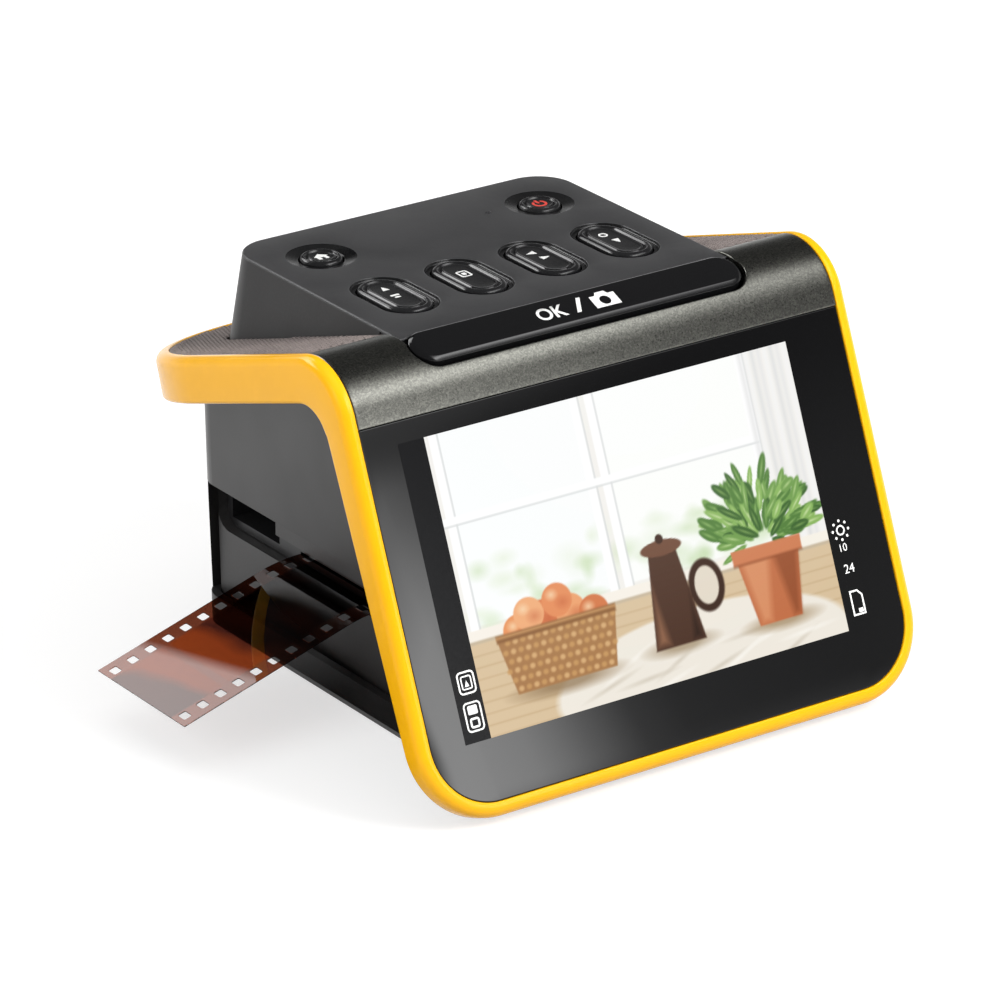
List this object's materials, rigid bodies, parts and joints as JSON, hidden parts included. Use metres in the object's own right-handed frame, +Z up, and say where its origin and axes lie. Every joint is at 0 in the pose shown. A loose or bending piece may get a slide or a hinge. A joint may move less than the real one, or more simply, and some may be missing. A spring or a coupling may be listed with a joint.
{
  "type": "film negative scanner",
  "caption": "Desktop film scanner: tilted screen on a bent cover, raised block of push buttons, film tray with a film strip sliding through the case below.",
  "frame": {"origin": "table plane under the scanner, on the middle plane of its body, 0.050 m behind the screen's centre (the middle rubber foot)", "axes": "+X to the scanner's right as its user sees the screen, +Y to the rear, +Z up"},
  "size_m": [0.156, 0.139, 0.0942],
  "materials": {
    "case_plastic": "fine satin texture",
    "base_plastic": "matt",
    "foot_rubber": "matt",
    "screw_steel": "zinc plated",
    "cover_plastic": "matt",
    "rim_plastic": "gloss moulded in colour",
    "grip_plastic": "knurled",
    "bezel_paint": "metallic speckled paint",
    "block_plastic": "satin",
    "plate_plastic": "fine satin texture",
    "cover_glass": "gloss, black printed from behind",
    "gasket_foam": "matt",
    "display": "lit display",
    "cable_film": "polyimide film",
    "board": "solder mask",
    "switch": "matt",
    "light_pipe": "clear light pipe",
    "socket_steel": "plated",
    "tunnel_plastic": "matt",
    "bracket_metal": "satin",
    "lens_plastic": "matt",
    "white_plastic": "matt",
    "led_phosphor": "clear",
    "diffuser": "opal",
    "tray_plastic": "fine satin texture",
    "film_base": "tinted film",
    "button_plastic": "gloss",
    "ok_gloss": "piano gloss"
  },
  "bodies": {
    "scanner_body": {"lower_case": "case_plastic", "base_cover": "base_plastic", "rubber_feet": "foot_rubber", "base_screws": "screw_steel", "bent_cover": "cover_plastic", "rim_band": "rim_plastic", "deck_grip": "grip_plastic", "bend_bezel": "bezel_paint", "control_housing": "block_plastic", "control_plate": "plate_plastic", "cover_glass": "cover_glass", "screen_gasket": "gasket_foam", "lcd_panel": "display", "flat_cable": "cable_film", "main_board": "board", "main_board_screws": "screw_steel", "key_board": "board", "key_switches": "switch", "key_board_screws": "screw_steel", "status_light": "light_pipe", "ok_board": "board", "ok_switches": "switch", "io_board": "board", "usb_c_socket": "socket_steel", "hdmi_socket": "socket_steel", "sd_card_socket": "socket_steel", "film_tunnel": "tunnel_plastic", "tunnel_ends": "tunnel_plastic", "camera_bracket": "bracket_metal", "camera_lens": "lens_plastic", "sensor_board": "board", "light_box": "white_plastic", "led_board": "white_plastic", "leds": "led_phosphor", "diffuser": "diffuser"},
    "film_tray": {"film_tray": "tray_plastic"},
    "film": {"film_strip": "film_base"},
    "button_1": {"oval_button_1": "button_plastic"},
    "button_2": {"oval_button_2": "button_plastic"},
    "button_3": {"oval_button_3": "button_plastic"},
    "button_4": {"oval_button_4": "button_plastic"},
    "home": {"home_button": "button_plastic"},
    "power": {"power_button": "button_plastic"},
    "ok": {"ok_bar": "ok_gloss"}
  },
  "joints": [
    {"name": "tray_slide", "type": "slide", "parent": "scanner_body", "child": "film_tray", "axis": [-1, 0, 0], "range_m": [0, 0.06]},
    {"name": "film_slide", "type": "slide", "parent": "film_tray", "child": "film", "axis": [-1, 0, 0], "range_m": [0, 0.055]},
    {"name": "button_1_press", "type": "slide", "parent": "scanner_body", "child": "button_1", "axis": [0, 0, -1], "range_m": [0, 0.0008], "stiffness_N_per_m": 700, "springref_m": -0.0004},
    {"name": "button_2_press", "type": "slide", "parent": "scanner_body", "child": "button_2", "axis": [0, 0, -1], "range_m": [0, 0.0008], "stiffness_N_per_m": 700, "springref_m": -0.0004},
    {"name": "button_3_press", "type": "slide", "parent": "scanner_body", "child": "button_3", "axis": [0, 0, -1], "range_m": [0, 0.0008], "stiffness_N_per_m": 700, "springref_m": -0.0004},
    {"name": "button_4_press", "type": "slide", "parent": "scanner_body", "child": "button_4", "axis": [0, 0, -1], "range_m": [0, 0.0008], "stiffness_N_per_m": 700, "springref_m": -0.0004},
    {"name": "home_press", "type": "slide", "parent": "scanner_body", "child": "home", "axis": [0, 0, -1], "range_m": [0, 0.0008], "stiffness_N_per_m": 700, "springref_m": -0.0004},
    {"name": "power_press", "type": "slide", "parent": "scanner_body", "child": "power", "axis": [0, 0, -1], "range_m": [0, 0.0008], "stiffness_N_per_m": 700, "springref_m": -0.0004},
    {"name": "ok_press", "type": "slide", "parent": "scanner_body", "child": "ok", "axis": [0, 0.3762, -0.9265], "range_m": [0, 0.0008], "stiffness_N_per_m": 700, "springref_m": -0.0004}
  ]
}
